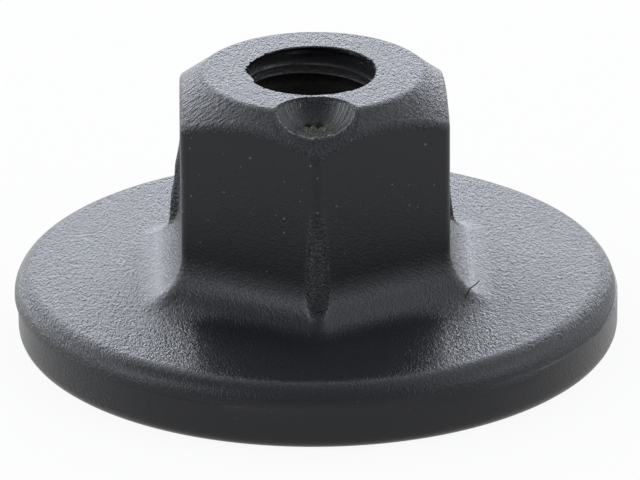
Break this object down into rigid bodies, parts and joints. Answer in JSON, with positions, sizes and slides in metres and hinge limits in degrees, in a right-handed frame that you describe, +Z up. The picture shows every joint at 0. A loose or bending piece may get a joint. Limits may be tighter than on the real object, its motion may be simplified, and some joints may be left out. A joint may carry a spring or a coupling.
{
  "type": "plastic flange nut",
  "caption": "Moulded plastic hexagon nut with a wide round flange, for clamping sheet or lining to a threaded stud.",
  "frame": {"origin": "centre of the flat underside, where the thread's axis meets the seat", "axes": "+Z up the bore from the seat to the crown; the corner with the gate mark faces -Y"},
  "size_m": [0.0228, 0.0226, 0.0104],
  "materials": {
    "black_polyamide": "fine moulded grain, satin, glass-filled"
  },
  "bodies": {
    "root": {"flange_nut": "black_polyamide"}
  },
  "joints": []
}
